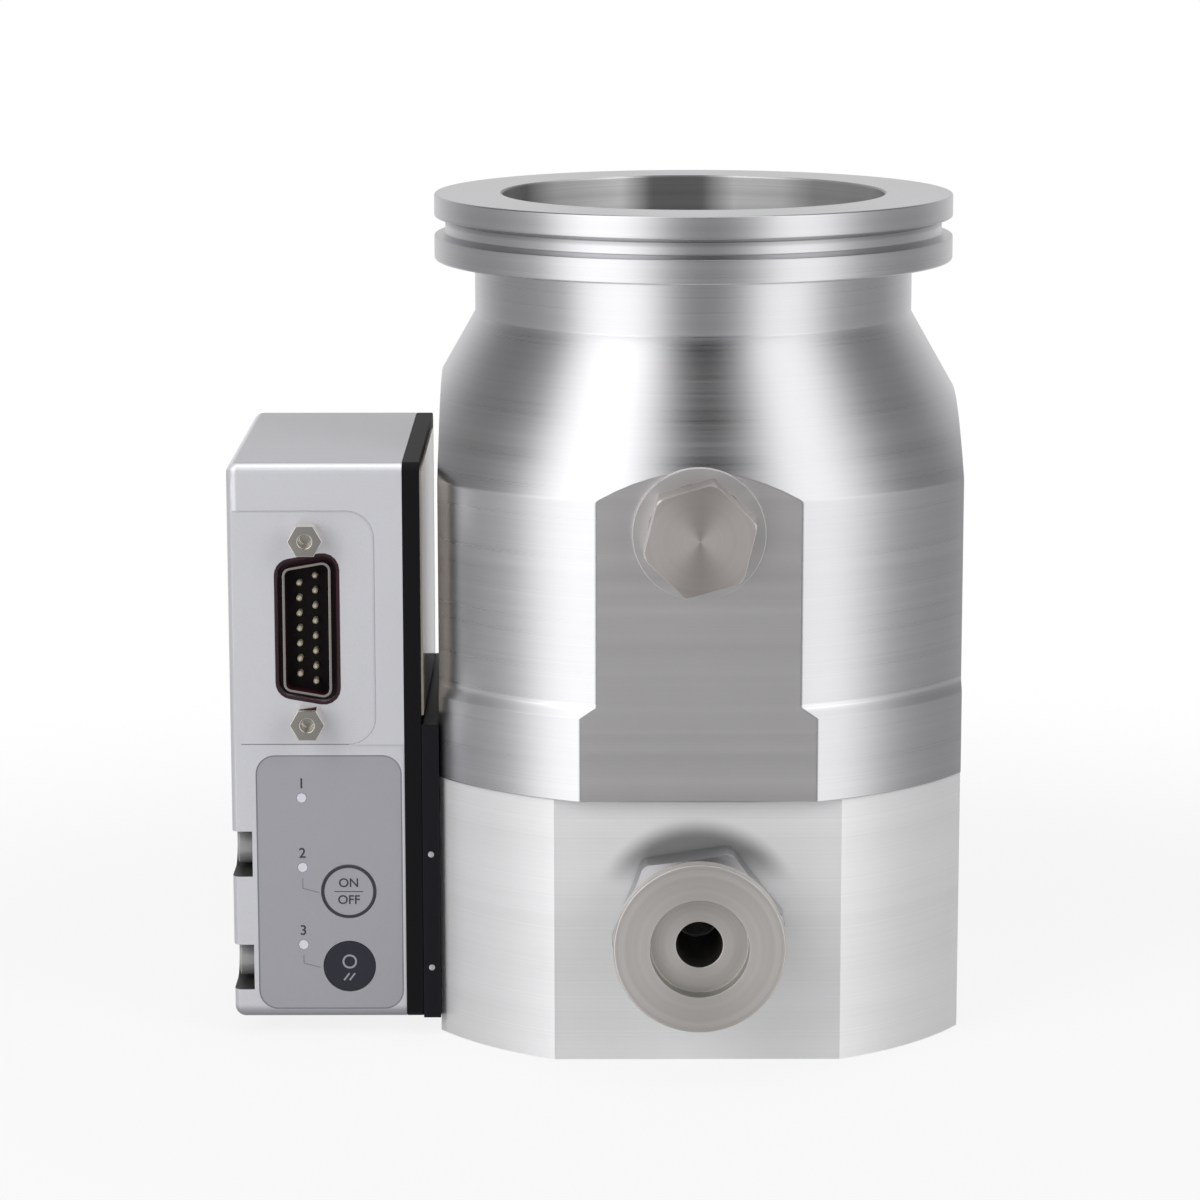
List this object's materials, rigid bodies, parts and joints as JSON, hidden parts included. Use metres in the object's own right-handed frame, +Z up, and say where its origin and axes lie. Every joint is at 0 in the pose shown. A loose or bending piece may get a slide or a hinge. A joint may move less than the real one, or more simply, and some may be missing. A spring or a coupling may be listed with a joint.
{
  "type": "turbomolecular pump",
  "caption": "Turbomolecular vacuum pump: turned casing with ISO-K inlet flange, bladed rotor on bearings, base with KF exhaust port, hex purge plug and a side controller box.",
  "frame": {"origin": "on the rotor axis, at the underside of the base", "axes": "+Z up along the rotor axis to the inlet flange, -Y forward to the exhaust port and the purge plug, -X to the controller"},
  "size_m": [0.1317, 0.1236, 0.15],
  "materials": {
    "casing": "lathe-turned aluminium, satin, fine turning lines round the axis",
    "base": "machined aluminium, brighter, fine lines round the axis",
    "rotor": "milled aluminium",
    "stator": "milled aluminium",
    "steel": "plain steel",
    "screw": "zinc-plated steel",
    "shaft": "ground steel",
    "bearing": "polished bearing steel",
    "magnet": "dark sintered magnet",
    "motor_core": "stacked electrical steel",
    "winding": "enamelled copper, impregnated",
    "port": "turned stainless steel, warm grey",
    "plug": "nickel-plated, turned face",
    "seal": "black fluoroelastomer",
    "block": "black anodised aluminium",
    "plate": "matt black",
    "pad": "beige heat-conducting pad",
    "controller_case": "fine satin silver finish",
    "label": "matt grey-violet foil, bare",
    "light": "clear light pipe, unlit",
    "key_light": "light grey key",
    "key_dark": "dark grey key",
    "board": "green solder mask",
    "plug_shell": "tin-plated steel",
    "connector_plastic": "black thermoplastic",
    "pin": "gold flash",
    "jack": "nickel-plated brass"
  },
  "bodies": {
    "root": {"inlet_casing": "casing", "base_housing": "base", "base_cover": "base", "cover_screws": "steel", "casing_screws": "steel", "stator_ring_1": "stator", "stator_ring_2": "stator", "drag_stator": "stator", "motor_core": "motor_core", "motor_windings": "winding", "upper_bearing": "bearing", "lower_bearing": "bearing", "bearing_carrier": "stator", "exhaust_port": "port", "exhaust_seal": "seal", "port_plug": "plug", "plug_seal": "seal", "feedthrough": "connector_plastic", "mounting_block": "block", "controller_plate": "plate", "insulating_pad": "pad", "controller_cover": "controller_case", "controller_screws": "screw", "screw_sleeves": "steel", "label_panel": "label", "status_lights": "light", "display_board": "board", "circuit_board": "board", "board_posts": "steel", "dsub_shell": "plug_shell", "dsub_insulator": "connector_plastic", "dsub_pins": "pin", "jack_screws": "jack"},
    "rotor_assembly": {"rotor": "rotor", "rotor_shaft": "shaft", "rotor_screw": "steel", "shaft_nut": "steel", "motor_magnet": "magnet"},
    "start_stop_key": {"start_stop_button": "key_light"},
    "reset_key": {"reset_button": "key_dark"}
  },
  "joints": [
    {"name": "rotor_spin", "type": "hinge", "parent": "root", "child": "rotor_assembly", "pos_m": [0, 0, 0.06], "axis": [0, 0, 1], "continuous": true},
    {"name": "start_stop_press", "type": "slide", "parent": "root", "child": "start_stop_key", "axis": [0, 1, 0], "range_m": [0, 0.0004], "stiffness_N_per_m": 500},
    {"name": "reset_press", "type": "slide", "parent": "root", "child": "reset_key", "axis": [0, 1, 0], "range_m": [0, 0.0004], "stiffness_N_per_m": 500}
  ]
}
